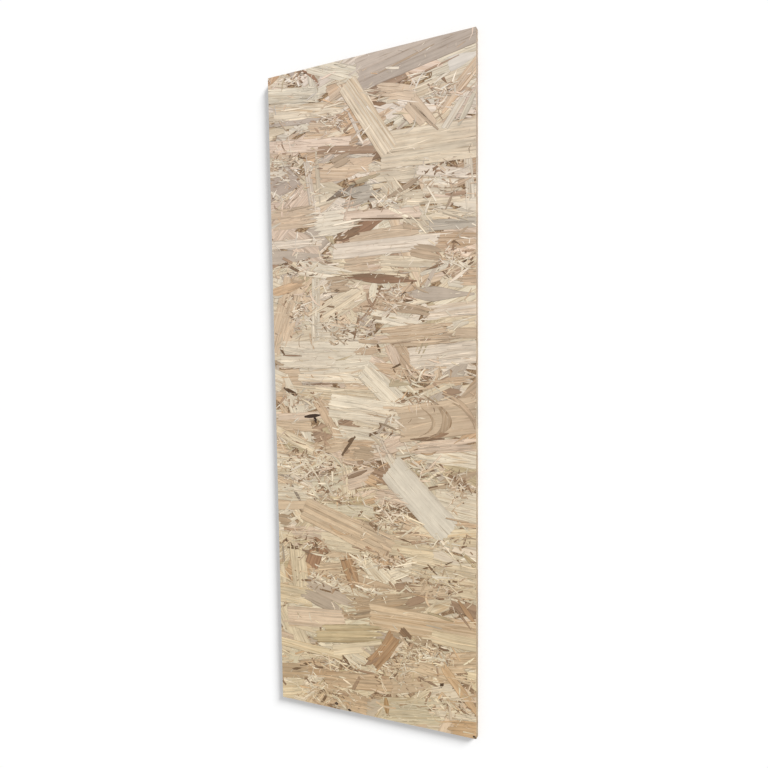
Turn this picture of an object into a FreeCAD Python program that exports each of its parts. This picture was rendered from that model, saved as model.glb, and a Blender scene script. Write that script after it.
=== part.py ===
import FreeCAD, Part
import os
import Sketcher

# An oriented strand board cut to a handy size, lying flat.
# Millimetres. X runs across the board, Y along it, Z up through its thickness.
# The origin is on the underside, under the middle of the board.

doc = FreeCAD.newDocument("OsbBoard")

# Driving dimensions
sheet = doc.addObject("Spreadsheet::Sheet", "Sizes")
sizes = [
    ("boardLength", 1200, "along Y, the long sawn edges"),
    ("boardWidth", 400, "along X, the way most face strands lie"),
    ("boardThickness", 12, "along Z, face to face"),
]
for row, (alias, value, note) in enumerate(sizes, start=1):
    sheet.set("A%d" % row, alias)
    sheet.set("B%d" % row, str(value))
    sheet.setAlias("B%d" % row, alias)
    sheet.set("C%d" % row, note)
doc.recompute()


def originPlane(body, role):
    """The body's own origin plane with this role."""
    for feature in body.Origin.OriginFeatures:
        if feature.Role == role:
            return feature
    raise RuntimeError("no origin plane " + role)


def centredRectangle(body, name, across, along):
    """A sketch on the XY plane with a rectangle centred on the origin.

    across and along are the expressions that drive its two sides.
    """
    sketch = body.newObject("Sketcher::SketchObject", name)
    sketch.AttachmentSupport = [(originPlane(body, "XY_Plane"), "")]
    sketch.MapMode = "FlatFace"
    corners = [(-1, -1), (1, -1), (1, 1), (-1, 1)]
    points = [FreeCAD.Vector(x, y, 0) for x, y in corners]
    for start, end in zip(points, points[1:] + points[:1]):
        sketch.addGeometry(Part.LineSegment(start, end), False)
    for side in range(4):
        sketch.addConstraint(Sketcher.Constraint("Coincident", side, 2, (side + 1) % 4, 1))
    for side in (0, 2):
        sketch.addConstraint(Sketcher.Constraint("Horizontal", side))
    for side in (1, 3):
        sketch.addConstraint(Sketcher.Constraint("Vertical", side))
    # opposite corners mirror each other about the origin, which centres the rectangle
    sketch.addConstraint(Sketcher.Constraint("Symmetric", 0, 1, 2, 1, -1, 1))
    width = sketch.addConstraint(Sketcher.Constraint("DistanceX", 0, 1, 0, 2, 2))
    length = sketch.addConstraint(Sketcher.Constraint("DistanceY", 1, 1, 1, 2, 2))
    sketch.renameConstraint(width, "across")
    sketch.renameConstraint(length, "along")
    sketch.setExpression("Constraints.across", across)
    sketch.setExpression("Constraints.along", along)
    return sketch


def makeBoard():
    """The whole board: one pressed and sawn sheet with square edges."""
    body = doc.addObject("PartDesign::Body", "Board")
    body.Label = "osb_board"
    outline = centredRectangle(body, "Outline", "Sizes.boardWidth", "Sizes.boardLength")
    thickness = body.newObject("PartDesign::Pad", "Thickness")
    thickness.Profile = outline
    thickness.setExpression("Length", "Sizes.boardThickness")
    body.Tip = thickness
    body.Placement = FreeCAD.Placement()
    outline.Visibility = False
    return body


subParts = [makeBoard()]
doc.recompute()

# Nothing is written unless every object of the document came out sound
for item in doc.Objects:
    if "Invalid" in item.State or "Error" in item.State:
        raise RuntimeError("%s failed: %s" % (item.Label, item.State))
for part in subParts:
    if part.Shape.isNull() or not part.Shape.isValid():
        raise RuntimeError(part.Label + " has no valid shape")

os.makedirs("parts", exist_ok=True)
for part in subParts:
    part.Shape.exportStep(os.path.join("parts", part.Label + ".step"))
    box = part.Shape.BoundBox
    print("%s: %g x %g x %g mm, %d solid, %.0f mm3" % (
        part.Label, box.XLength, box.YLength, box.ZLength, len(part.Shape.Solids), part.Shape.Volume))
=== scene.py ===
import math
import random

import bmesh
import bpy
from mathutils import Matrix, Vector


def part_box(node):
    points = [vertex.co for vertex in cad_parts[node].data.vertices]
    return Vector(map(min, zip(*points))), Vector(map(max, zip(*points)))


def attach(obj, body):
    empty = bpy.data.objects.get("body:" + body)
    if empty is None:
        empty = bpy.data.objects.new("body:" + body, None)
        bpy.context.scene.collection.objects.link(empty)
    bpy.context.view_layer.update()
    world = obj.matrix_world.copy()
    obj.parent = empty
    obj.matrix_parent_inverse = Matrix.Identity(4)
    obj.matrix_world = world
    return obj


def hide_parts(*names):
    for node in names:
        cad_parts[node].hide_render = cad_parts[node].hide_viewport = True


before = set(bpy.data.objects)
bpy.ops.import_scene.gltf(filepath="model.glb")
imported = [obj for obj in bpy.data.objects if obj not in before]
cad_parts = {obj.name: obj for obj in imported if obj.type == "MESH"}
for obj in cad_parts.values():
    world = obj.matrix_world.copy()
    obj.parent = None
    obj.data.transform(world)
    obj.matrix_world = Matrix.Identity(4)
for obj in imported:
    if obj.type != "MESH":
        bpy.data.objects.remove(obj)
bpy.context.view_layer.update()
boardLow, boardHigh = [Vector(corner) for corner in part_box("osb_board")]
mm = 0.001
boardWidth = (boardHigh.x - boardLow.x) / mm
boardLength = (boardHigh.y - boardLow.y) / mm
boardThickness = (boardHigh.z - boardLow.z) / mm
dice = random.Random(1207)

# Places on a face are in millimetres: across from the left long edge, and down from the far end.
# A turn is in degrees, clockwise as seen from above, from lying straight across the board.


# colours of the wood, as seen in plain light

woodTones = {
    "white": (217, 203, 184), "cream": (213, 197, 174), "pearl": (211, 193, 172),
    "sage": (205, 190, 165), "butter": (206, 186, 157), "straw": (207, 188, 161),
    "blush": (205, 181, 158), "tan": (198, 173, 145), "biscuit": (190, 163, 135),
    "honey": (192, 160, 127), "amber": (176, 142, 103), "russet": (172, 138, 106),
    "olive": (186, 166, 134), "moss": (170, 152, 124), "taupe": (190, 171, 151),
    "lilac": (183, 163, 144), "ash": (171, 157, 139), "slate": (138, 122, 106),
    "fawn": (173, 149, 123), "cocoa": (158, 130, 106), "chestnut": (152, 117, 91),
    "umber": (132, 105, 81), "walnut": (110, 86, 63), "bark": (82, 60, 41), "soot": (56, 40, 29),
}
smoothTones = ("white", "taupe", "lilac")
darkTones = ("cocoa", "chestnut", "umber", "walnut", "bark", "soot")
farPaintedLight = (1.12, 1.18, 1.30)   # painted light: the far end is painted paler and cooler
nearPaintedLight = (1.03, 1.04, 0.95)  # painted shade: the near end is painted deeper and warmer


def linear(part):
    part /= 255
    return part / 12.92 if part <= 0.04045 else ((part + 0.055) / 1.055) ** 2.4


def toneAt(name, down, shade=1.0):
    # the named colour at this distance from the far end, as light values, with the painted light and shade
    # along the board
    share = min(max(down / boardLength, 0), 1)
    paintedLight = [far + (near - far) * share for far, near in zip(farPaintedLight, nearPaintedLight)]
    return [linear(part) * pull * shade for part, pull in zip(woodTones[name], paintedLight)]


# shader kit: values as expressions, every other node from one method

class Signal:
    def __init__(self, recipe, socket):
        self.recipe = recipe
        self.socket = socket

    def __add__(self, other):
        return self.recipe.maths("ADD", self, other)

    def __sub__(self, other):
        return self.recipe.maths("SUBTRACT", self, other)

    def __rsub__(self, other):
        return self.recipe.maths("SUBTRACT", other, self)

    def __mul__(self, other):
        return self.recipe.maths("MULTIPLY", self, other)

    def __abs__(self):
        return self.recipe.maths("ABSOLUTE", self)

    __radd__ = __add__
    __rmul__ = __mul__

    def ramp(self, low, high):
        # 0 at low, 1 at high, smooth between
        sockets = {"Value": self, "From Min": low, "From Max": high}
        return self.recipe.node("ShaderNodeMapRange", {"interpolation_type": "SMOOTHSTEP"}, sockets)


class Recipe:
    def __init__(self, owner):
        owner.use_nodes = True
        self.owner = owner
        self.tree = owner.node_tree
        self.tree.nodes.clear()

    def node(self, kind, settings=None, sockets=None, output=0):
        made = self.tree.nodes.new(kind)
        for key, value in (settings or {}).items():
            setattr(made, key, value)
        for key, value in (sockets or {}).items():
            if isinstance(value, Signal):
                self.tree.links.new(value.socket, made.inputs[key])
            else:
                made.inputs[key].default_value = value
        return Signal(self, made.outputs[output]) if made.outputs else None

    def maths(self, operation, first, second=0.0):
        return self.node("ShaderNodeMath", {"operation": operation}, {0: first, 1: second})

    def split(self, vector):
        return [self.node("ShaderNodeSeparateXYZ", None, {0: vector}, output=axis) for axis in "XYZ"]

    def point(self, x, y, z=0.0):
        return self.node("ShaderNodeCombineXYZ", None, {"X": x, "Y": y, "Z": z})

    def noise(self, x, y, z=0.0, detail=2.0):
        sockets = {"Vector": self.point(x, y, z), "Scale": 1.0, "Detail": detail}
        return self.node("ShaderNodeTexNoise", None, sockets)

    def scaled(self, colour, value):
        return self.node("ShaderNodeVectorMath", {"operation": "SCALE"}, {0: colour, "Scale": value})

    def mix(self, share, first, second, blend="MIX"):
        # sockets 6 and 7 are this node's two colours
        settings = {"data_type": "RGBA", "blend_type": blend}
        return self.node("ShaderNodeMix", settings, {0: share, 6: first, 7: second}, output=2)

    def stained(self, share, colour, stain):
        # the colour multiplied by the stain, by this share
        return self.mix(share, colour, (*stain, 1), "MULTIPLY")

    def wood(self, colour, roughness, height, depth):
        bump = self.node("ShaderNodeBump", None, {"Strength": 1.0, "Distance": depth, "Height": height})
        sockets = {"Base Color": colour, "Roughness": roughness, "Normal": bump}
        sockets["Specular IOR Level"] = 0.3
        shader = self.node("ShaderNodeBsdfPrincipled", None, sockets)
        self.node("ShaderNodeOutputMaterial", None, {"Surface": shader})
        return self.owner


# finishes

strandLook = {
    "ringCurve": 420.0,   # how fast the growth lines open out, per metre
    "ringRate": 22.0,     # growth lines per metre along the grain
    "fibreAlong": 30.0,
    "fibreAcross": 1300.0,
    "streakAlong": 9.0,
    "streakAcross": 300.0,
    "bandAlong": 3.0,
    "bandAcross": 95.0,
    "crackAlong": 14.0,
    "crackAcross": 260.0,
    "latewood": (0.78, 0.66, 0.53),
    # the fleck colour also serves as the painted shade at a strand's sides
    "fleck": (0.55, 0.45, 0.37),
    # painted shade in the sunken cracks
    "crack": (0.50, 0.42, 0.34),
    "weathering": (0.90, 0.885, 0.89),
    "bumpDepth": 0.00008,
}


def makeStrandWood():
    # planed strands: growth lines, streaks, cracks and fibres along the grain, with painted shade at the
    # sides and in the cracks
    look = strandLook
    recipe = Recipe(bpy.data.materials.new("strandWood"))
    tone = recipe.node("ShaderNodeAttribute", {"attribute_name": "Tone"})
    figure = recipe.node("ShaderNodeAttribute", {"attribute_name": "Tone"}, output="Alpha")
    along, across = recipe.split(recipe.node("ShaderNodeUVMap", {"uv_map": "Grain"}))[:2]
    side = recipe.split(recipe.node("ShaderNodeUVMap", {"uv_map": "Span"}))[1]
    place = recipe.node("ShaderNodeTexCoord", output="Object")
    x, y, z = recipe.split(place)

    wander = recipe.noise(along * 9, across * 45) - 0.5
    ringPlace = along + across * across * look["ringCurve"] + wander * 0.05
    ring = recipe.noise(ringPlace * look["ringRate"], 0.4, detail=1.0).ramp(0.46, 0.68)
    fibre = recipe.noise(along * look["fibreAlong"], across * look["fibreAcross"], 2.0)
    streak = recipe.noise(along * look["streakAlong"], across * look["streakAcross"], 5.0)
    band = recipe.noise(along * look["bandAlong"], across * look["bandAcross"], 7.0)
    crack = recipe.noise(along * look["crackAlong"], across * look["crackAcross"], 11.0, detail=3.0)
    crack = crack.ramp(0.61, 0.72)
    fleck = recipe.noise(along * 60, across * 800, 9.0, detail=1.0).ramp(0.62, 0.74)
    blotch = recipe.noise(x * 38, y * 38, z, detail=3.0)
    grey = recipe.noise(x * 7, y * 7, z, detail=3.0).ramp(0.45, 0.75)

    grainy = fibre * 0.5 + streak * 0.74 + band * 0.5 - 0.87
    lightness = 0.88 + grainy * (0.55 + figure.ramp(0.0, 0.3) * 0.55) + blotch * 0.34
    colour = recipe.scaled(tone, lightness)
    colour = recipe.stained(ring * figure, colour, look["latewood"])
    # the cracks sink in the bump and are darkened with painted shade
    colour = recipe.stained(crack * 0.6, colour, look["crack"])
    colour = recipe.stained(fleck * 0.4, colour, look["fleck"])
    # painted shade along the strand's sides, in the fleck colour
    colour = recipe.stained(abs(side).ramp(0.72, 1.0) * 0.25, colour, look["fleck"])
    colour = recipe.stained(grey, colour, look["weathering"])
    roughness = 0.58 + fibre * 0.2
    height = fibre * 0.5 + streak * 0.9 + ring * 0.3 - crack * 0.8
    return recipe.wood(colour, roughness, height, look["bumpDepth"])


coreLook = {
    "chipAlong": 95.0,    # crumbs per metre, along and across their own length
    "chipAcross": 520.0,
    "turns": (9, -32, 63),
    "light": (190, 162, 128),
    "dark": (138, 109, 80),
    # painted shade in the gaps between crumbs
    "gap": (0.38, 0.30, 0.23),
}


def makePressedFines():
    # the glued bed under the face strands: crumbs and needles of wood, with painted shade in the sunken gaps
    # between them
    look = coreLook
    recipe = Recipe(bpy.data.materials.new("pressedFines"))
    x, y, z = recipe.split(recipe.node("ShaderNodeTexCoord", output="Object"))
    pale = (*[linear(part) for part in look["light"]], 1)
    deep = (*[linear(part) for part in look["dark"]], 1)
    colour, gaps = None, None
    for order, turn in enumerate(look["turns"]):
        along = x * math.cos(math.radians(turn)) + y * math.sin(math.radians(turn))
        across = y * math.cos(math.radians(turn)) - x * math.sin(math.radians(turn))
        spot = recipe.point(along * look["chipAlong"], across * look["chipAcross"], z * 90 + order)
        sockets = {"Vector": spot, "Scale": 1.0}
        cell = recipe.node("ShaderNodeTexVoronoi", None, sockets, output="Color")
        rim = recipe.node("ShaderNodeTexVoronoi", {"feature": "DISTANCE_TO_EDGE"}, sockets)
        chance = recipe.split(cell)[0]
        bed = recipe.mix(chance, deep, pale)
        gap = 1 - rim.ramp(0.0, 0.12)
        if colour is None:
            colour, gaps = bed, gap
        else:
            shown = recipe.noise(x * 55, y * 55, order * 3.0).ramp(0.47, 0.53)
            colour = recipe.mix(shown, colour, bed)
            gaps = gaps + shown * (gap - gaps)
    # the gaps sink in the bump and are darkened with painted shade
    colour = recipe.stained(gaps, colour, look["gap"])
    return recipe.wood(colour, 0.72 - gaps * 0.1, 1 - gaps, 0.00012)


def makeSawnWood():
    # strands cut through by the saw: thin layers seen end on, with open pores
    recipe = Recipe(bpy.data.materials.new("sawnWood"))
    tone = recipe.node("ShaderNodeAttribute", {"attribute_name": "Tone"})
    x, y, z = recipe.split(recipe.node("ShaderNodeTexCoord", output="Object"))
    layer = recipe.noise(x * 70, y * 70, z * 4200)
    pores = recipe.noise(x * 1500, y * 1500, z * 1900, detail=1.0)
    stain = recipe.noise(x * 30, y * 30, z * 300)
    colour = recipe.scaled(tone, 0.62 + layer * 0.4 + stain * 0.32)
    colour = recipe.stained(pores.ramp(0.58, 0.74), colour, (0.62, 0.52, 0.42))
    return recipe.wood(colour, 0.7 + pores * 0.15, layer * 0.6 + pores, 0.00008)


strandWood = makeStrandWood()
pressedFines = makePressedFines()
sawnWood = makeSawnWood()
print("finishes made")


# one strand of wood

# how much of the width is left at each end, how far in the narrowing starts as a share
# of the length, how far the ends fray in millimetres, and how far they are cut on a slant
strandForms = {
    "whole": {"left": 0.95, "right": 0.92, "reach": 0.10, "fray": 2.4, "slant": 0.25},
    "torn": {"left": 0.85, "right": 0.40, "reach": 0.35, "fray": 7.0, "slant": 0.6},
    "lens": {"left": 0.06, "right": 0.06, "reach": 0.62, "fray": 0.5, "slant": 0.1},
    "wedge": {"left": 0.96, "right": 0.05, "reach": 0.95, "fray": 1.5, "slant": 0.4},
    "splinter": {"left": 0.30, "right": 0.12, "reach": 0.45, "fray": 1.0, "slant": 0.2},
}


class Strand:
    def __init__(self, tone, form, across, down, length, width, turn, bow=0.0):
        self.tone = tone
        self.form = form
        self.across = across
        self.down = down
        self.length = length
        self.width = width
        self.bow = bow
        self.turn = turn
        self.cos = math.cos(math.radians(turn))
        self.sin = math.sin(math.radians(turn))
        self.whole = self                # the strand that this is a strip of
        self.grainStart = dice.uniform(-2, 2)
        self.heart = dice.choice((-1, 1)) * dice.uniform(0.004, 0.05)

    def strips(self):
        # a wide strand comes apart along the grain into strips with uneven ends
        count = round(self.width / dice.uniform(7, 15) / (2.5 if self.tone in smoothTones else 1))
        if count < 2 or self.tone == "white" or self.form in ("lens", "splinter"):
            return [self]
        uneven = {"whole": 0.05, "torn": 0.30, "wedge": 0.10}[self.form]
        cuts = [(cut + dice.uniform(-0.3, 0.3)) / count - 0.5 for cut in range(1, count)]
        cuts = [-0.5] + cuts + [0.5]
        made = []
        for order, (low, high) in enumerate(zip(cuts, cuts[1:])):
            length = self.length * (1 - dice.uniform(0, uneven))
            if self.form == "wedge":
                length *= 1 - 0.75 * order / count
            slack = self.length - length
            along = -slack / 2 if self.form == "wedge" else slack * dice.uniform(-0.5, 0.5)
            aside = self.width * (low + high) / 2
            width = self.width * (high - low) + dice.uniform(-0.3, 0.6)
            form = "whole" if self.form == "wedge" else self.form
            across, down = self.toBoard(along, aside)
            turn = self.turn + dice.gauss(0, 0.4)
            strip = Strand(self.tone, form, across, down, length, width, turn, self.bow)
            strip.whole = self
            made.append(strip)
        return made

    def covers(self, across, down):
        along, aside = self.toStrand(across, down)
        return abs(along) < self.length / 2 and abs(aside - self.bow * 0.6) < self.width / 2

    def toBoard(self, along, aside):
        return (self.across + along * self.cos - aside * self.sin,
                self.down + along * self.sin + aside * self.cos)

    def toStrand(self, across, down):
        across -= self.across
        down -= self.down
        return across * self.cos + down * self.sin, down * self.cos - across * self.sin

    def outline(self):
        # points round the strand, in its own lengthwise and sideways millimetres
        form = strandForms[self.form]
        steps = min(14, max(2, round(self.length / 14) + round(abs(self.bow) / 5)))
        rough = min(0.5, 0.15 + 0.015 * self.width)
        slants = [dice.uniform(-1, 1) * form["slant"] for end in range(2)]

        def narrowed(share, left):
            near = min(share / form["reach"], 1)
            return left + (1 - left) * near * near * (3 - 2 * near)

        def edgePoint(step, sign):
            share = step / steps
            half = self.width / 2 * narrowed(share, form["left"]) * narrowed(1 - share, form["right"])
            aside = sign * half + dice.gauss(0, rough) * min(1, half / 2)
            along = (share - 0.5) * self.length
            if step in (0, steps):
                along += slants[step > 0] * aside
            return along, aside + self.bow * (1 - (2 * share - 1) ** 2)

        def frayed(start, end):
            # splintered points between the two corners of an end
            teeth = int(abs(end[1] - start[1]) / 2.2)
            points = []
            for tooth in range(1, teeth + 1):
                share = tooth / (teeth + 1)
                along = start[0] + (end[0] - start[0]) * share
                push = dice.uniform(-1, 1) * form["fray"]
                points.append((along + push, start[1] + (end[1] - start[1]) * share))
            return points

        upper = [edgePoint(step, -1) for step in range(steps + 1)]
        lower = [edgePoint(step, 1) for step in range(steps, -1, -1)]
        return upper + frayed(upper[-1], lower[0]) + lower + frayed(lower[-1], upper[0])


def clipped(points, axis, limit, sign):
    # the part of an outline on one side of a line, as a saw leaves it
    kept = []
    for before, point in zip(points[-1:] + points[:-1], points):
        inside = sign * point[axis] <= sign * limit
        wasInside = sign * before[axis] <= sign * limit
        if inside != wasInside:
            share = (limit - before[axis]) / (point[axis] - before[axis])
            kept.append(tuple(a + (b - a) * share for a, b in zip(before, point)))
        if inside:
            kept.append(point)
    return kept


def sawnToBoard(points, inset):
    right, near = boardWidth - inset, boardLength - inset
    for axis, limit, sign in ((0, inset, -1), (0, right, 1), (1, inset, -1), (1, near, 1)):
        if points:
            points = clipped(points, axis, limit, sign)
    return points


def overlaps(first, second, ease=0.9):
    # whether the rectangles round two strands cross, each a little shrunk
    gap = (second.across - first.across, second.down - first.down)
    strands = (first, second)
    for one in strands:
        for axis in ((one.cos, one.sin), (-one.sin, one.cos)):
            spread = 0
            for other in strands:
                spread += abs(axis[0] * other.cos + axis[1] * other.sin) * other.length / 2
                spread += abs(axis[1] * other.cos - axis[0] * other.sin) * other.width / 2
            if abs(gap[0] * axis[0] + gap[1] * axis[1]) > spread * ease:
                return False
    return True


# meshes of many strands

relief = {
    "levels": 9,         # strand levels under the upper face
    "step": 0.055,       # drop from one level to the next
    "topGap": 0.03,      # the highest level lies this far inside the board's box
    "lift": 0.00008,     # each strand of a level lies this much above the one before
    "tilt": 0.004,       # how unevenly a strand lies
    "lipDrop": 0.03,     # drop across a strand's worn edge
    "coreDepth": 0.62,   # where the bed of fines lies
    "sink": 0.15,        # how far strands reach into that bed
    "sawWander": 0.12,   # how unevenly the saw cut the face strands
    "edgeInset": 0.5,    # how far the core stands back from the sawn edges
}
mapFold = 0.5            # each bake map holds the board's two halves side by side
mapOverhang = 80.0       # how far a strand may reach past its half


def depthOf(level):
    return relief["topGap"] + (relief["levels"] - 1 - level) * relief["step"]


class StrandMesh:
    def __init__(self, name, side):
        self.name = name
        self.side = side  # 1 for the upper face, -1 for the underside
        self.mesh = bmesh.new()
        self.toneLayer = self.mesh.loops.layers.float_color.new("Tone")
        self.grainMap = self.mesh.loops.layers.uv.new("Grain")
        self.spanMap = self.mesh.loops.layers.uv.new("Span")
        self.bakeMap = self.mesh.loops.layers.uv.new("OFBake")

    def place(self, across, down, depth):
        x = boardLow.x + across * mm
        y = boardHigh.y - down * mm
        z = boardHigh.z - depth * mm if self.side > 0 else boardLow.z + depth * mm
        return Vector((x, y, z))

    def bakePlace(self, across, down, nearHalf):
        start = boardLength / 2 - mapOverhang if nearHalf else 0.0
        u = mapFold * (across / boardWidth) + (mapFold if nearHalf else 0)
        return u, (down - start) / (boardLength / 2 + mapOverhang)

    # rim is how dark the painted shade on the lip and walls is, lip is how wide the lip is
    def add(self, strand, depth, figure=0.5, shade=1.0, rim=0.6, lip=0.45):
        # a flat chip with a worn, lower lip round it, closed underneath; its lip and walls carry painted
        # shade
        inset = dice.uniform(0, relief["sawWander"])
        right, near = boardWidth - inset, boardLength - inset
        points = sawnToBoard([strand.toBoard(*point) for point in strand.outline()], inset)
        if len(points) < 3:
            return
        area = sum(a[0] * b[1] - b[0] * a[1] for a, b in zip(points, points[1:] + points[:1]))
        if area > 0:
            points.reverse()  # anticlockwise seen from above, because down runs towards -Y
        count = len(points)
        outer = []
        for before, point, after in zip(points[-1:] + points[:-1], points, points[1:] + points[:1]):
            out = Vector((before[1] - after[1], after[0] - before[0]))
            if out.length > 0:
                out *= lip / out.length
            spot = (min(max(point[0] + out.x, inset), right), min(max(point[1] + out.y, inset), near))
            outer.append(spot)
        tilts = [dice.uniform(-1, 1) * relief["tilt"] for axis in range(2)]

        def lying(spot, drop):
            along, aside = strand.toStrand(*spot)
            lean = tilts[0] * along / strand.length + tilts[1] * aside / strand.width
            return self.place(*spot, depth + drop + lean)

        bottom = relief["coreDepth"] + relief["sink"]
        tops = [self.mesh.verts.new(lying(point, 0)) for point in points]
        lips = tops
        if lip:
            lips = [self.mesh.verts.new(lying(spot, relief["lipDrop"])) for spot in outer]
        lows = [self.mesh.verts.new(self.place(*spot, bottom)) for spot in outer]
        spots = dict(zip(lips + tops + lows, outer + points + outer))
        walls = set(lips + lows)
        shadedLips = set()  # the lip carries painted shade, apart from where the saw has cut it
        for spot, vertex in zip(outer, lips):
            if inset < spot[0] < right and inset < spot[1] < near:
                shadedLips.add(vertex)

        colour = (*toneAt(strand.tone, strand.down, shade), figure)
        # the painted shade on the lip and walls
        dark = (*[part * rim for part in colour[:3]], figure)
        whole = strand.whole
        nearHalf = whole.down > boardLength / 2

        def face(corners, inPaintedShade=shadedLips):
            made = self.mesh.faces.new(corners if self.side > 0 else corners[::-1])
            for loop in made.loops:
                across, down = spots[loop.vert]
                along, aside = strand.toStrand(across, down)
                grain, offHeart = whole.toStrand(across, down)
                loop[self.toneLayer] = dark if loop.vert in inPaintedShade else colour
                loop[self.grainMap].uv = (whole.grainStart + grain * mm, whole.heart + offHeart * mm)
                loop[self.spanMap].uv = (2 * along / strand.length, 2 * (aside - strand.bow) / strand.width)
                loop[self.bakeMap].uv = self.bakePlace(across, down, nearHalf)

        face(lows[::-1], ())
        for index in range(count):
            after = (index + 1) % count
            face([lows[index], lows[after], lips[after], lips[index]], walls)
        if lip:
            for index in range(count):
                after = (index + 1) % count
                face([lips[index], lips[after], tops[after], tops[index]])
        face(tops, ())

    def finish(self, material):
        mesh = bpy.data.meshes.new(self.name)
        self.mesh.to_mesh(mesh)
        self.mesh.free()
        return addPiece(self.name, mesh, material)


def addPiece(name, mesh, material):
    piece = bpy.data.objects.new(name, mesh)
    bpy.context.collection.objects.link(piece)
    mesh.materials.append(material)
    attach(piece, "root")
    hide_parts("osb_board")
    return piece


# the upper face: strands chosen one by one, lowest first
# tone, form, across, down, length, width, turn, and the bow to the near side where there is one

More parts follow.
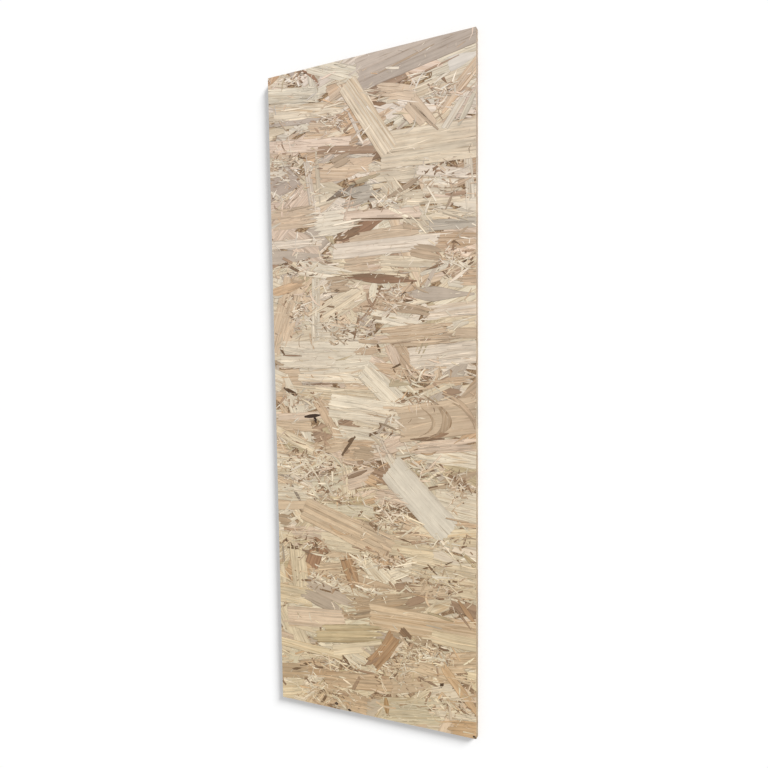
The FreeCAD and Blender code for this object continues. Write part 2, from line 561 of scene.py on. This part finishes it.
chosenStrands = [
    # far end
    ("sage", "whole", 45, 40, 110, 26, 8), ("straw", "whole", 85, 75, 150, 26, 5),
    ("taupe", "splinter", 60, 90, 120, 9, 3), ("tan", "torn", 265, 75, 84, 26, 15),
    ("straw", "whole", 350, 75, 110, 22, -8), ("tan", "torn", 108, 115, 60, 30, 6),
    ("blush", "whole", 80, 135, 185, 22, 6), ("straw", "torn", 190, 60, 60, 26, 20),
    ("straw", "splinter", 150, 122, 52, 12, -8), ("tan", "wedge", 150, 192, 120, 26, 10),
    ("sage", "whole", 140, 15, 108, 28, 22), ("taupe", "whole", 295, 14, 232, 56, -10),
    ("fawn", "splinter", 278, 24, 105, 2.4, -14), ("white", "wedge", 385, 44, 64, 26, -10),
    ("cocoa", "splinter", 318, 50, 110, 2.4, -13), ("umber", "splinter", 220, 87, 40, 11, 8),
    ("cocoa", "whole", 165, 156, 126, 13, 8), ("umber", "torn", 237, 169, 44, 13, -20),
    ("straw", "whole", 325, 171, 195, 62, 2), ("tan", "wedge", 300, 122, 62, 38, 52),
    ("fawn", "splinter", 308, 122, 78, 8, 46), ("tan", "whole", 372, 86, 96, 19, -45),
    ("blush", "splinter", 388, 110, 70, 9, -52), ("cream", "whole", 362, 128, 52, 11, -52),
    ("sage", "splinter", 386, 122, 62, 9, -60), ("fawn", "torn", 152, 172, 40, 19, -15),
    ("straw", "whole", 205, 106, 156, 36, 58), ("pearl", "splinter", 180, 118, 66, 6, 64),
    ("chestnut", "splinter", 92, 19, 48, 6, 45, -5), ("russet", "torn", 8, 6, 34, 12, -18),
    ("pearl", "whole", 85, 205, 84, 13, 82), ("straw", "splinter", 103, 196, 92, 8, 86),
    ("straw", "whole", 285, 214, 132, 17, 2), ("moss", "lens", 196, 212, 64, 13, -10),
    ("ash", "torn", 194, 238, 62, 32, -6), ("slate", "lens", 149, 229, 62, 14, -20),
    ("fawn", "splinter", 275, 235, 72, 9, -23), ("cream", "whole", 388, 236, 72, 14, 86),
    ("tan", "torn", 42, 262, 112, 38, 1), ("cream", "torn", 135, 280, 90, 44, 0),
    ("walnut", "splinter", 232, 265, 38, 6, 3), ("walnut", "splinter", 208, 259, 22, 5, 65),
    ("chestnut", "torn", 190, 297, 90, 20, -22), ("blush", "whole", 230, 276, 142, 18, 3),
    ("walnut", "splinter", 235, 284, 132, 2.2, 6), ("straw", "whole", 320, 258, 110, 22, 4),
    ("pearl", "whole", 345, 220, 96, 16, 12), ("cream", "wedge", 340, 243, 64, 26, 8),
    # second quarter
    ("pearl", "whole", 50, 309, 116, 15, 2), ("tan", "whole", 232, 311, 130, 20, -3),
    ("biscuit", "torn", 360, 333, 90, 26, 5), ("fawn", "wedge", 286, 305, 32, 12, 15),
    ("ash", "whole", 362, 307, 84, 17, 2), ("umber", "torn", 164, 303, 46, 13, -10),
    ("pearl", "whole", 235, 332, 205, 26, 0), ("taupe", "wedge", 60, 333, 128, 27, 3),
    ("cream", "torn", 92, 360, 108, 28, 12), ("tan", "whole", 190, 357, 70, 27, 0),
    ("blush", "wedge", 222, 366, 36, 14, -4), ("straw", "whole", 275, 362, 100, 18, 6),
    ("fawn", "torn", 312, 349, 54, 23, 14), ("straw", "whole", 150, 425, 96, 38, -26),
    ("tan", "whole", 28, 440, 152, 48, 109), ("honey", "torn", 30, 391, 76, 17, -12),
    ("cream", "whole", 93, 440, 132, 16, 91), ("chestnut", "lens", 225, 388, 140, 19, 7),
    ("umber", "lens", 205, 380, 118, 9, 5), ("fawn", "torn", 143, 391, 50, 28, 1),
    ("walnut", "lens", 138, 402, 11, 6, 0), ("taupe", "splinter", 322, 388, 54, 8, -60),
    ("taupe", "lens", 325, 421, 145, 29, 4), ("pearl", "whole", 362, 450, 96, 23, -2),
    ("fawn", "torn", 282, 443, 92, 15, 12), ("cream", "torn", 243, 458, 104, 20, 12),
    ("lilac", "torn", 200, 467, 42, 22, 50), ("cream", "whole", 140, 476, 92, 28, 6),
    ("cocoa", "splinter", 205, 430, 78, 2.2, -52, 5), ("umber", "splinter", 177, 471, 46, 3, -76),
    ("tan", "torn", 288, 490, 142, 37, -2), ("cocoa", "splinter", 300, 499, 106, 2.2, -4),
    ("pearl", "whole", 345, 526, 134, 38, -4), ("cream", "whole", 110, 518, 192, 50, 2),
    ("biscuit", "torn", 197, 514, 40, 13, 0), ("walnut", "splinter", 221, 510, 16, 6, 70),
    ("walnut", "splinter", 18, 509, 20, 5, 52), ("cocoa", "splinter", 40, 517, 42, 2.4, 4),
    ("biscuit", "torn", 250, 548, 80, 17, 8), ("cream", "whole", 130, 556, 156, 27, 3),
    ("umber", "splinter", 100, 572, 62, 2.4, 0), ("straw", "whole", 130, 591, 165, 24, 4),
    # middle
    ("biscuit", "torn", 345, 573, 76, 16, -5), ("cream", "whole", 240, 592, 136, 39, 43),
    ("moss", "wedge", 262, 573, 38, 16, 6), ("cocoa", "torn", 356, 591, 34, 18, 2),
    ("straw", "whole", 330, 585, 66, 11, -21), ("bark", "splinter", 37, 587, 40, 8, 27),
    ("tan", "whole", 35, 650, 96, 20, 3), ("blush", "whole", 60, 632, 110, 13, -3),
    ("cream", "whole", 195, 622, 156, 44, 8), ("cream", "whole", 178, 666, 90, 26, 5),
    ("cream", "whole", 355, 700, 124, 32, 5), ("blush", "torn", 345, 683, 146, 22, -5),
    ("tan", "whole", 330, 637, 146, 62, -8), ("fawn", "lens", 300, 636, 84, 13, 98, -46),
    ("fawn", "splinter", 301, 634, 80, 5, 99, -54), ("fawn", "splinter", 300, 642, 50, 5, 96, -24),
    ("biscuit", "splinter", 372, 620, 84, 7, 44, -9), ("fawn", "splinter", 378, 630, 60, 3, 48, -8),
    ("umber", "lens", 312, 671, 64, 7, -2), ("cocoa", "lens", 332, 665, 40, 12, -14),
    ("biscuit", "whole", 120, 648, 112, 17, 57), ("soot", "splinter", 82, 632, 36, 7, -6),
    ("soot", "splinter", 87, 638, 15, 5, 70), ("straw", "whole", 70, 692, 156, 18, 25),
    ("cocoa", "splinter", 42, 677, 52, 2.2, 24, 4), ("tan", "torn", 112, 690, 74, 24, -10),
    ("biscuit", "torn", 178, 695, 62, 38, -3), ("fawn", "torn", 188, 700, 44, 26, 5),
    ("walnut", "splinter", 157, 687, 46, 4, -52), ("walnut", "splinter", 164, 675, 18, 5, -30),
    ("blush", "torn", 182, 746, 74, 30, -20), ("cocoa", "splinter", 172, 740, 48, 7, -22),
    ("honey", "torn", 206, 750, 26, 20, 20), ("walnut", "lens", 222, 716, 17, 9, 15),
    ("cream", "whole", 40, 782, 96, 32, 3), ("cream", "whole", 372, 785, 100, 52, 8),
    ("slate", "splinter", 42, 783, 42, 5, 60), ("moss", "wedge", 310, 735, 44, 13, 15),
    ("fawn", "lens", 362, 742, 104, 27, -22), ("white", "whole", 296, 780, 158, 54, 45.5),
    ("white", "splinter", 318, 834, 52, 11, 46),
    # third quarter
    ("tan", "whole", 40, 806, 96, 16, -4), ("olive", "torn", 166, 789, 44, 14, -10),
    ("umber", "splinter", 110, 775, 30, 4, 8), ("butter", "whole", 275, 872, 96, 27, 2),
    ("straw", "whole", 135, 872, 90, 32, 3), ("tan", "torn", 275, 849, 72, 17, 4),
    ("tan", "whole", 150, 842, 196, 46, 20), ("tan", "torn", 205, 858, 50, 25, 20),
    ("chestnut", "lens", 196, 876, 15, 6, 10), ("cocoa", "splinter", 190, 880, 58, 3, 6),
    ("cocoa", "splinter", 270, 842, 52, 2.4, -6), ("walnut", "splinter", 266, 855, 32, 2.6, 14),
    ("fawn", "torn", 14, 836, 36, 20, 4), ("chestnut", "torn", 96, 881, 38, 17, 28),
    ("butter", "whole", 45, 935, 90, 34, 84), ("tan", "torn", 108, 924, 84, 22, -5),
    ("chestnut", "whole", 80, 902, 46, 28, 112), ("cream", "wedge", 217, 926, 66, 32, 40),
    ("tan", "torn", 322, 945, 74, 24, -10), ("biscuit", "torn", 205, 945, 78, 18, 8),
    ("russet", "torn", 158, 928, 64, 25, 68), ("straw", "whole", 340, 905, 120, 34, 5),
    ("butter", "whole", 35, 986, 76, 36, 3), ("lilac", "torn", 110, 983, 102, 48, 18),
    ("blush", "whole", 80, 1025, 128, 36, -4), ("cream", "splinter", 96, 948, 60, 6, 27),
    ("fawn", "torn", 235, 981, 172, 38, -14), ("cocoa", "torn", 293, 962, 42, 13, -24),
    ("tan", "whole", 305, 1008, 220, 44, 2), ("olive", "splinter", 335, 988, 50, 4, 12),
    ("russet", "splinter", 384, 974, 52, 8, 50), ("cocoa", "splinter", 376, 985, 46, 3, 50),
    # near end
    ("olive", "torn", 150, 1046, 146, 34, -8), ("butter", "whole", 365, 1028, 92, 24, 3),
    ("tan", "whole", 378, 1062, 60, 30, -12), ("straw", "wedge", 170, 1071, 108, 20, -14),
    ("tan", "whole", 270, 1112, 86, 52, -15), ("tan", "whole", 300, 1088, 100, 20, 4),
    ("butter", "whole", 65, 1088, 142, 16, 4), ("biscuit", "torn", 80, 1124, 76, 32, -10),
    ("russet", "whole", 222, 1066, 76, 26, -54, 5), ("cocoa", "lens", 200, 1092, 36, 14, -34),
    ("walnut", "splinter", 272, 1042, 36, 6, 50), ("bark", "splinter", 297, 1057, 54, 2.8, -22),
    ("umber", "wedge", 268, 1030, 24, 14, 40), ("umber", "wedge", 341, 1046, 20, 12, 10),
    ("biscuit", "whole", 168, 1137, 144, 30, -6), ("fawn", "torn", 26, 1140, 84, 29, -8),
    ("umber", "wedge", 150, 1112, 42, 13, 15), ("cocoa", "splinter", 190, 1116, 48, 5, 3),
    ("walnut", "splinter", 55, 1122, 28, 4, -20), ("walnut", "splinter", 34, 1135, 22, 4, -15),
    ("pearl", "torn", 350, 1128, 64, 38, -20), ("honey", "torn", 372, 1118, 96, 16, 50),
    ("bark", "splinter", 337, 1112, 12, 6, -65), ("cocoa", "splinter", 312, 1112, 44, 3, 18),
    ("sage", "whole", 275, 1174, 116, 50, -10), ("straw", "whole", 20, 1180, 72, 34, -15),
    ("pearl", "whole", 360, 1165, 92, 11, -3), ("honey", "torn", 382, 1186, 66, 32, -10),
    ("biscuit", "whole", 140, 1178, 96, 34, 6), ("cream", "splinter", 134, 1183, 52, 6, 45, 4),
    ("amber", "splinter", 228, 1175, 34, 12, 85), ("soot", "lens", 122, 1190, 7, 5, 0),
    ("soot", "lens", 150, 1197, 8, 5, 10), ("soot", "lens", 397, 1197, 6, 4, 30),
]

# where the face is mostly loose slivers: across, down, reach across, reach down, how many
finesPatches = [
    (58, 12, 26, 10, 50), (40, 165, 52, 55, 120), (140, 105, 34, 16, 60), (340, 88, 34, 16, 60),
    (345, 235, 50, 45, 80), (245, 258, 46, 12, 40), (60, 352, 46, 16, 40), (372, 368, 34, 26, 110),
    (60, 425, 34, 46, 80), (250, 425, 50, 26, 90), (140, 470, 42, 30, 80), (200, 470, 22, 36, 50),
    (300, 560, 60, 16, 60), (60, 600, 60, 16, 50), (300, 612, 40, 30, 40), (235, 650, 32, 22, 40),
    (75, 730, 72, 44, 230), (300, 725, 60, 14, 50), (370, 755, 34, 22, 70), (120, 785, 50, 20, 60),
    (245, 818, 46, 34, 140), (340, 850, 60, 18, 60), (60, 880, 60, 26, 80), (215, 895, 60, 20, 60),
    (340, 925, 60, 30, 110), (110, 948, 70, 22, 90), (210, 955, 30, 14, 40), (300, 1060, 62, 26, 150),
    (250, 1100, 50, 40, 120), (110, 1110, 60, 18, 60), (110, 1170, 90, 28, 140), (340, 1150, 60, 26, 90),
]

randomTones = {
    "cream": 6, "pearl": 5, "straw": 5, "butter": 3, "sage": 3, "blush": 4, "tan": 4, "biscuit": 2,
    "taupe": 1.5, "honey": 1, "olive": 1, "fawn": 1, "cocoa": 0.6, "lilac": 0.5, "umber": 0.2,
}
finesTones = {
    "white": 5, "cream": 8, "pearl": 6, "straw": 6, "blush": 4, "tan": 4, "biscuit": 2.5, "sage": 3,
    "taupe": 1.5, "honey": 2, "olive": 1.5, "fawn": 3, "cocoa": 3, "umber": 2.5, "walnut": 1.3, "bark": 0.3,
}
# dark tones laid under the light slivers as painted shade
paintedShadeTones = {"fawn": 3, "cocoa": 4, "umber": 3, "walnut": 1}
formShares = {"whole": 5, "torn": 4, "wedge": 1.5, "lens": 1, "splinter": 2}

# random strands laid between the chosen ones: how many tries, how long, how wide
fillSizes = {
    "low": [(300, 150, 40), (500, 110, 30), (900, 70, 18), (1200, 40, 9)],
    "between": [(350, 110, 30), (500, 60, 16)],
    "underside": [(300, 150, 42), (500, 110, 30), (900, 70, 18), (900, 40, 9)],
}
looseWood = {
    "needles": 3600,
    "slivers": 2900,
    "undersideSlivers": 3000,
    "wideStrand": 16,    # a strand this wide is mostly left clear
    "keptClear": 0.65,   # share of the slivers that a wide strand sheds
}
shades = {
    "strands": 0.02,     # how much strands of one tone differ in lightness
    "strips": 0.065,     # and the strips of one strand
    "smooth": 0.89,      # smooth strands have no dark figure, so they are toned down
    "slivers": 0.11,
    "sliverLightness": 1.05,
}


def pick(shares):
    return dice.choices(list(shares), list(shares.values()))[0]


def drawTurn(spread=20):
    # most strands lie across the board, some anyhow
    return dice.gauss(0, spread) if dice.random() < 0.78 else dice.uniform(-90, 90)


def drawStrand(length, width):
    across = dice.uniform(-20, boardWidth + 20)
    down = dice.uniform(-20, boardLength + 20)
    return Strand(pick(randomTones), pick(formShares), across, down, length, width, drawTurn())


def fillLevel(strands, sizes):
    # lays random strands where they cross none of this level's, the largest first
    for tries, longest, widest in sizes:
        for attempt in range(tries):
            length = longest * dice.uniform(0.65, 1.2)
            strand = drawStrand(length, widest * dice.uniform(0.6, 1.3))
            if not any(overlaps(strand, other) for other in strands):
                strands.append(strand)


def layStrands(chosen):
    # each level holds strands that don't cross, so a crossing strand lies one level up
    levels = [[] for level in range(relief["levels"])]
    lowest = 3  # the levels under this one are all random
    placed = []
    for strand in chosen:
        below = [level for level, other in placed if overlaps(strand, other)]
        level = max([lowest - 1] + below) + 1
        placed.append((level, strand))
        levels[min(level, relief["levels"] - 1)].append(strand)
    for level in range(lowest):
        fillLevel(levels[level], fillSizes["low"])
    fillLevel(levels[lowest], fillSizes["between"])
    return levels


def makeStrandPieces(name, side, levels, first=0):
    for level, strands in enumerate(levels):
        if not strands:
            continue
        mesh = StrandMesh("%s_%d" % (name, level + 1), side)
        depth = depthOf(level + first)
        for order, strand in enumerate(strands):
            smooth = strand.tone in smoothTones
            shade = dice.gauss(1, shades["strands"]) * (shades["smooth"] if smooth else 1)
            figure = 0.0 if smooth else dice.uniform(0.1, 0.9) ** 1.5
            lift = order * relief["lift"]
            for strip in strand.strips():
                # rim is how dark the painted shade on each strip's lip is, lip is its width
                rim, lip = dice.uniform(0.35, 0.7), dice.uniform(0.3, 1.0)
                if strand.tone == "white":
                    rim, lip = 0.8, 0.3
                stripShade = shade * dice.gauss(1, shades["strips"])
                mesh.add(strip, depth - lift, figure, stripShade, rim, lip)
        mesh.finish(strandWood)


class StrandFinder:
    # finds the highest strand at a spot, by listing the strands over each square
    square = 20  # millimetres

    def __init__(self, strands):
        self.over = {}
        for strand in strands:
            wide = (abs(strand.cos) * strand.length + abs(strand.sin) * strand.width) / 2
            deep = (abs(strand.sin) * strand.length + abs(strand.cos) * strand.width) / 2
            for column in self.squares(strand.across, wide):
                for row in self.squares(strand.down, deep):
                    self.over.setdefault((column, row), []).append(strand)

    def squares(self, centre, reach):
        return range(int((centre - reach) // self.square), int((centre + reach) // self.square) + 1)

    def at(self, across, down):
        strands = self.over.get((int(across // self.square), int(down // self.square)), [])
        for strand in reversed(strands):
            if strand.covers(across, down):
                return strand
        return None


def drawSliver(across, down):
    # a crumb, needle or curl of wood a few millimetres long
    length = min(2.5 + dice.expovariate(1 / 8), 45)
    width = min(dice.uniform(0.5, 1.4) + length * dice.uniform(0, 0.12), length * 0.6)
    bow = dice.gauss(0, 0.08) * length if dice.random() < 0.5 else 0.0
    form = dice.choice(("splinter", "wedge", "whole", "lens"))
    tone = pick(finesTones)
    if tone in darkTones and length > 12:
        length, width = length * 0.4, width * 0.6
    return Strand(tone, form, across, down, length, width, drawTurn(34), bow)


def drawNeedle(across, down, under):
    # a long fibre half lifted from the strand it belongs to
    length = min(dice.uniform(9, 60), 0.6 * under.length)
    width = dice.uniform(0.6, 2.4) + length * dice.uniform(0, 0.03)
    form = dice.choice(("splinter", "splinter", "lens", "torn"))
    turn = under.turn + dice.gauss(0, 4)
    return Strand(under.tone, form, across, down, length, width, turn, dice.gauss(0, 0.02) * length)


def makeLoose(name, side, slivers):
    # lowest first, so that a bake map keeps the highest
    mesh = StrandMesh(name, side)
    for depth, sliver in sorted(slivers, key=lambda pair: -pair[0]):
        lip = 0.3 if sliver.length > 9 else 0
        shade = dice.gauss(shades["sliverLightness"], shades["slivers"])
        # the uniform(0.42, 0.8) value is how dark the painted shade on the sliver's lip is
        mesh.add(sliver, depth, 0.25, shade, dice.uniform(0.42, 0.8), lip)
    mesh.finish(strandWood)


def looseDepth():
    level = dice.randrange(relief["levels"])
    return max(depthOf(level) - relief["step"] * dice.uniform(0.1, 0.4), 0.012)


def anywhere():
    return dice.uniform(0, boardWidth), dice.uniform(0, boardLength)


def makeSlivers(name, side, patches, scattered, finder):
    slivers = []
    for across, down, reachAcross, reachDown, count in patches:
        for each in range(count + count // 2):
            spot = (dice.gauss(across, reachAcross * 0.5), dice.gauss(down, reachDown * 0.5))
            under = finder.at(*spot)
            if under is not None and under.tone == "white":
                continue
            sliver = drawSliver(*spot)
            depth = dice.uniform(0.01, 0.10)
            if each >= count:  # dark slivers under the light ones, painted shade in the gaps between them
                sliver.tone = pick(paintedShadeTones)
                sliver.width += 1.5
                depth = dice.uniform(0.10, 0.14)
            slivers.append((depth, sliver))
    while scattered > 0:
        spot = anywhere()
        under = finder.at(*spot)
        wide = under is not None and under.width >= looseWood["wideStrand"]
        if wide and (under.tone == "white" or dice.random() < looseWood["keptClear"]):
            continue
        sliver = drawSliver(*spot)
        if wide and sliver.tone in darkTones:
            sliver.tone = under.tone  # on a wide strand it is a lifted fibre of that strand
        slivers.append((looseDepth(), sliver))
        scattered -= 1
    makeLoose(name, side, slivers)


def makeNeedles(name, side, count, finder):
    needles = []
    for each in range(count):
        spot = anywhere()
        under = finder.at(*spot)
        if under is None or under.tone in smoothTones + darkTones:
            continue
        if under.form in ("whole", "torn"):
            needles.append((looseDepth(), drawNeedle(*spot, under)))
    makeLoose(name, side, needles)


upperStrands = layStrands([Strand(*entry) for entry in chosenStrands])
upperFinder = StrandFinder([strand for level in upperStrands for strand in level])
makeStrandPieces("upper_strands", 1, upperStrands)
makeNeedles("upper_needles", 1, looseWood["needles"], upperFinder)
makeSlivers("upper_slivers", 1, finesPatches, looseWood["slivers"], upperFinder)
print("upper face laid")

undersideStrands = [[] for level in range(3)]
for levelStrands in undersideStrands:
    fillLevel(levelStrands, fillSizes["underside"])
undersideFinder = StrandFinder([strand for level in undersideStrands for strand in level])
makeStrandPieces("underside_strands", -1, undersideStrands, relief["levels"] - 3)
makeSlivers("underside_slivers", -1, [], looseWood["undersideSlivers"], undersideFinder)
print("underside laid")


# the pressed core under the strands

coreShape = {"cell": 8.0, "crumple": 0.09, "wallShare": 0.04}


def makeCore():
    # a closed slab with gently crumpled faces and straight walls
    mesh = bmesh.new()
    bakeMap = mesh.loops.layers.uv.new("OFBake")
    inset = relief["edgeInset"]
    columns = round(boardWidth / coreShape["cell"])
    rows = round(boardLength / coreShape["cell"])
    grids = {}
    for side in (1, -1):
        for row in range(rows + 1):
            for column in range(columns + 1):
                x = boardLow.x + (inset + (boardWidth - 2 * inset) * column / columns) * mm
                y = boardLow.y + (inset + (boardLength - 2 * inset) * row / rows) * mm
                depth = (relief["coreDepth"] + dice.uniform(-1, 1) * coreShape["crumple"]) * mm
                z = boardHigh.z - depth if side > 0 else boardLow.z + depth
                grids[side, column, row] = mesh.verts.new((x, y, z))

    faceShare = (1 - coreShape["wallShare"]) / 2

    def face(corners, places):
        made = mesh.faces.new([grids[corner] for corner in corners])
        for loop, place in zip(made.loops, places):
            loop[bakeMap].uv = place

    for side in (1, -1):
        for row in range(rows):
            for column in range(columns):
                ring = [(column, row), (column + 1, row), (column + 1, row + 1), (column, row + 1)]
                if side < 0:
                    ring.reverse()
                start = 0 if side > 0 else faceShare
                places = [(start + faceShare * spot[0] / columns, spot[1] / rows) for spot in ring]
                face([(side, *spot) for spot in ring], places)

    rim = [(column, 0) for column in range(columns)] + [(columns, row) for row in range(rows)]
    rim += [(column, rows) for column in range(columns, 0, -1)] + [(0, row) for row in range(rows, 0, -1)]
    for order, (spot, after) in enumerate(zip(rim, rim[1:] + rim[:1])):
        low, high = order / len(rim), (order + 1) / len(rim)
        left = 1 - coreShape["wallShare"]
        face([(-1, *spot), (-1, *after), (1, *after), (1, *spot)],
             [(left, low), (left, high), (1, high), (1, low)])
    made = bpy.data.meshes.new("pressed_core")
    mesh.to_mesh(made)
    mesh.free()
    return addPiece("pressed_core", made, pressedFines)


makeCore()
print("core made")


# the sawn edges: strands cut through, one thin layer above another

edgeLook = {
    "layers": 17,
    "clear": 0.72,       # left free at the top and bottom for the face strands
    "deep": 0.6,         # how far a cut strand reaches into the board
    "proud": 0.14,       # how unevenly the cuts stand
    "voids": 0.22,       # share of cuts with a gap after them
    "tones": {"straw": 3, "tan": 4, "biscuit": 4, "fawn": 4, "taupe": 5, "ash": 4, "cocoa": 2.5, "cream": 2,
              "lilac": 3, "umber": 1.5, "honey": 1, "walnut": 0.6},
}


class Edge:
    def __init__(self, corner, along, out, length, row, rows):
        self.corner, self.along, self.out = Vector(corner), Vector(along), Vector(out)
        self.length = length
        self.row = row
        self.rows = rows

    def place(self, run, inset, height):
        spot = self.corner + self.along * run * mm - self.out * inset * mm
        return Vector((spot.x, spot.y, boardLow.z + height * mm))


def makeEdges():
    look = edgeLook
    mesh = bmesh.new()
    toneLayer = mesh.loops.layers.float_color.new("Tone")
    bakeMap = mesh.loops.layers.uv.new("OFBake")
    left, right, near, far = boardLow.x, boardHigh.x, boardLow.y, boardHigh.y
    edges = [
        Edge((left, near, 0), (1, 0, 0), (0, -1, 0), boardWidth, 4, 6),
        Edge((right, near, 0), (0, 1, 0), (1, 0, 0), boardLength, 0, 6),
        Edge((right, far, 0), (-1, 0, 0), (0, 1, 0), boardWidth, 5, 6),
        Edge((left, far, 0), (0, -1, 0), (-1, 0, 0), boardLength, 2, 6),
    ]
    pitch = (boardThickness - 2 * look["clear"]) / look["layers"]
    half = boardLength / 2

    def bakePlace(edge, run, height, centre):
        # a long edge takes two rows of the map, one for each half
        row = edge.row + (1 if centre > half else 0)
        start = half - mapOverhang if centre > half else 0
        return (run - start) / (half + mapOverhang), (row + height / boardThickness) / edge.rows

    def addCut(edge, start, end, middle, thick, inset, tone):
        steps = max(2, round((end - start) / 12))
        rings = []
        for step in range(steps + 1):
            share = step / steps
            run = start + (end - start) * share
            taper = 0.2 if step in (0, steps) else dice.uniform(0.85, 1.1)
            height = middle + dice.gauss(0, 0.09)
            low = max(height - thick * taper / 2, look["clear"] * 0.9)
            high = min(height + thick * taper / 2, boardThickness - look["clear"] * 0.9)
            ring = [(inset, low), (inset, high), (look["deep"], high), (look["deep"], low)]
            rings.append([(run, *corner) for corner in ring])
        vertices = [[mesh.verts.new(edge.place(*corner)) for corner in ring] for ring in rings]
        centre = (start + end) / 2

        def face(picks):
            made = mesh.faces.new([vertices[ring][corner] for ring, corner in picks])
            for loop, (ring, corner) in zip(made.loops, picks):
                run, depth, height = rings[ring][corner]
                loop[toneLayer] = tone
                loop[bakeMap].uv = bakePlace(edge, run, height, centre)

        for ring in range(steps):
            for corner in (1, 2, 3, 0):
                other = (corner + 1) % 4
                face([(ring, corner), (ring, other), (ring + 1, other), (ring + 1, corner)])
        face([(0, 3), (0, 2), (0, 1), (0, 0)])
        face([(steps, 0), (steps, 1), (steps, 2), (steps, 3)])

    for edge in edges:
        for layer in range(look["layers"]):
            run = dice.uniform(-20, 0)
            while run < edge.length:
                length = min(8 + dice.expovariate(1 / 26), 110)
                start, end = max(run, 0.0), min(run + length, edge.length)
                if end - start > 1.5:
                    middle = look["clear"] + pitch * (layer + 0.5) + dice.gauss(0, 0.1)
                    place = edge.place((start + end) / 2, 0, 0)
                    down = (boardHigh.y - place.y) / mm
                    tone = (*toneAt(pick(look["tones"]), down, dice.uniform(0.62, 0.92)), 0.5)
                    thick = pitch * dice.uniform(0.75, 1.15)
                    addCut(edge, start, end, middle, thick, dice.uniform(0, look["proud"]), tone)
                run += length + (dice.expovariate(1 / 3) if dice.random() < look["voids"] else 0.1)
    bmesh.ops.recalc_face_normals(mesh, faces=mesh.faces)
    made = bpy.data.meshes.new("sawn_edges")
    mesh.to_mesh(made)
    mesh.free()
    return addPiece("sawn_edges", made, sawnWood)


makeEdges()
print("edges cut")


# floor, light and camera

studio = {
    "floorSize": 14.0,
    "floorColour": (0.93, 0.93, 0.93, 1),
    "floorGlow": 0.09,
    "ambient": 0.5,
    "sunStrength": 4.15,
    "sunSpread": 20,     # degrees, soft like a large window
    "sunHeight": 22,     # degrees above the floor
    "sunTurn": 44,       # degrees round from the right hand side towards the far end
}
middle = (boardLow + boardHigh) / 2


def backgroundShare(recipe):
    # 1 where the view itself, a reflection or clear glass looks at the background
    rays = [recipe.node("ShaderNodeLightPath", output=name)
            for name in ("Is Camera Ray", "Is Glossy Ray", "Is Transmission Ray")]
    return recipe.maths("MAXIMUM", recipe.maths("MAXIMUM", rays[0], rays[1]), rays[2])


def makeFloor():
    mesh = bpy.data.meshes.new("floor")
    half = studio["floorSize"] / 2
    corners = [(-half, -half), (half, -half), (half, half), (-half, half)]
    drop = boardLow.z - 0.0003
    mesh.from_pydata([(middle.x + x, middle.y + y, drop) for x, y in corners], [], [(0, 1, 2, 3)])
    recipe = Recipe(bpy.data.materials.new("paleFloor"))
    glow = recipe.mix(backgroundShare(recipe), (0, 0, 0, 1), (1, 1, 1, 1))
    shader = recipe.node("ShaderNodeBsdfPrincipled", None, {
        "Base Color": studio["floorColour"], "Roughness": 0.9, "Specular IOR Level": 0.0,
        "Emission Color": glow, "Emission Strength": studio["floorGlow"]})
    recipe.node("ShaderNodeOutputMaterial", None, {"Surface": shader})
    mesh.materials.append(recipe.owner)
    floor = bpy.data.objects.new("floor", mesh)
    bpy.context.collection.objects.link(floor)


def makeWorld():
    world = bpy.data.worlds.new("studioWorld")
    bpy.context.scene.world = world
    recipe = Recipe(world)
    plain = recipe.node("ShaderNodeBackground", None, {"Color": (1, 1, 1, 1), "Strength": studio["ambient"]})
    white = recipe.node("ShaderNodeBackground", None, {"Color": (1, 1, 1, 1), "Strength": 1.0})
    both = recipe.node("ShaderNodeMixShader", None, {0: backgroundShare(recipe), 1: plain, 2: white})
    recipe.node("ShaderNodeOutputWorld", None, {"Surface": both})


def makeSun():
    lamp = bpy.data.lights.new("window", "SUN")
    lamp.energy = studio["sunStrength"]
    lamp.angle = math.radians(studio["sunSpread"])
    height, turn = math.radians(studio["sunHeight"]), math.radians(studio["sunTurn"])
    towards = Vector((math.cos(height) * math.cos(turn), math.cos(height) * math.sin(turn), math.sin(height)))
    made = bpy.data.objects.new("window", lamp)
    bpy.context.collection.objects.link(made)
    made.location = middle + towards * 3
    made.rotation_euler = (-towards).to_track_quat("-Z", "Y").to_euler()


cameraSet = {
    "place": (0.4818, 0.0196, 1.0425),  # from the middle of the underside, in metres
    "aim": (0.0293, -0.0665, 0.012),
    "roll": 0.663,                      # degrees, clockwise
    "lens": 29.29,
    "shiftUp": 0.0672,
}


def makeCamera():
    camera = bpy.data.cameras.new("camera")
    camera.lens = cameraSet["lens"]
    camera.sensor_width = 36
    camera.shift_y = cameraSet["shiftUp"]
    camera.clip_start, camera.clip_end = 0.01, 50
    made = bpy.data.objects.new("camera", camera)
    bpy.context.collection.objects.link(made)
    base = Vector((middle.x, middle.y, boardLow.z))
    place = base + Vector(cameraSet["place"])
    ahead = (base + Vector(cameraSet["aim"]) - place).normalized()
    level = ahead.cross(Vector((0, 1, 0))).normalized()  # the far end is up in the picture
    upright = level.cross(ahead)
    roll = math.radians(cameraSet["roll"])
    up = upright * math.cos(roll) + level * math.sin(roll)
    right = level * math.cos(roll) - upright * math.sin(roll)
    turn = Matrix((right, up, -ahead)).transposed()
    made.matrix_world = Matrix.Translation(place) @ turn.to_4x4()
    bpy.context.scene.camera = made


makeFloor()
makeWorld()
makeSun()
makeCamera()
bpy.context.scene.view_settings.view_transform = "Standard"
print("stage set")
